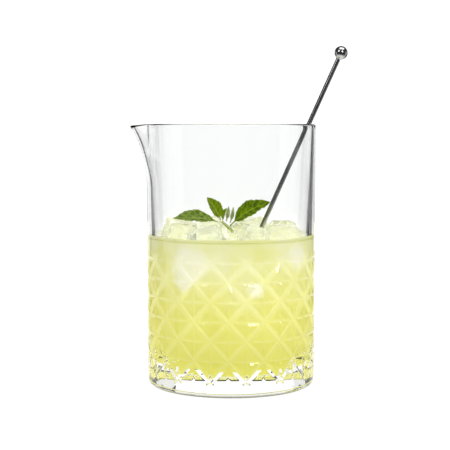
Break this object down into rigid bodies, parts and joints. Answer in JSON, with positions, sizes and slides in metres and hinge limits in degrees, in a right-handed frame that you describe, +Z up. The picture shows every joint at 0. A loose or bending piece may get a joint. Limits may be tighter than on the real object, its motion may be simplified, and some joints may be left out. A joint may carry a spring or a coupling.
{
  "type": "mixing glass",
  "caption": "Cut mixing glass with a drawn pouring lip, holding an iced lime drink, a mint sprig and a ball-ended steel stirrer.",
  "frame": {"origin": "centre of the flat face that the glass stands on", "axes": "+Z up along the glass's axis, -X towards the pouring lip, +X the way the stirrer leans"},
  "size_m": [0.1245, 0.0974, 0.1943],
  "materials": {
    "clear_glass": "polished clear pressed glass",
    "lime_drink": "cloudy pale lime drink",
    "clear_ice": "wet clear ice with a cloudy middle",
    "satin_steel": "polished along its length",
    "bright_steel": "mirror polished",
    "mint_stem": "fresh green stem",
    "mint_leaf": "fresh veined leaf"
  },
  "bodies": {
    "glass": {"glass_vessel": "clear_glass"},
    "contents": {"drink": "lime_drink", "ice_cube_01": "clear_ice", "ice_cube_02": "clear_ice", "ice_cube_03": "clear_ice", "ice_cube_04": "clear_ice", "ice_cube_05": "clear_ice", "ice_cube_06": "clear_ice", "ice_cube_07": "clear_ice", "ice_cube_08": "clear_ice", "ice_cube_09": "clear_ice", "ice_cube_10": "clear_ice", "ice_cube_11": "clear_ice"},
    "stirrer": {"stirrer_rod": "satin_steel", "stirrer_ball": "bright_steel"},
    "sprig": {"mint_stem": "mint_stem", "mint_leaf_left": "mint_leaf", "mint_leaf_upright": "mint_leaf", "mint_leaf_small": "mint_leaf", "mint_leaf_right": "mint_leaf", "mint_bud_left": "mint_leaf", "mint_bud_right": "mint_leaf"}
  },
  "joints": [
    {"name": "stir", "type": "hinge", "parent": "glass", "child": "contents", "pos_m": [0, 0, 0], "axis": [0, 0, 1], "continuous": true},
    {"name": "stirrer_lift", "type": "slide", "parent": "contents", "child": "stirrer", "axis": [0.4099, 0, 0.9121], "range_m": [0, 0.16]},
    {"name": "mint_lift", "type": "slide", "parent": "contents", "child": "sprig", "axis": [0, 0, 1], "range_m": [0, 0.115]}
  ]
}
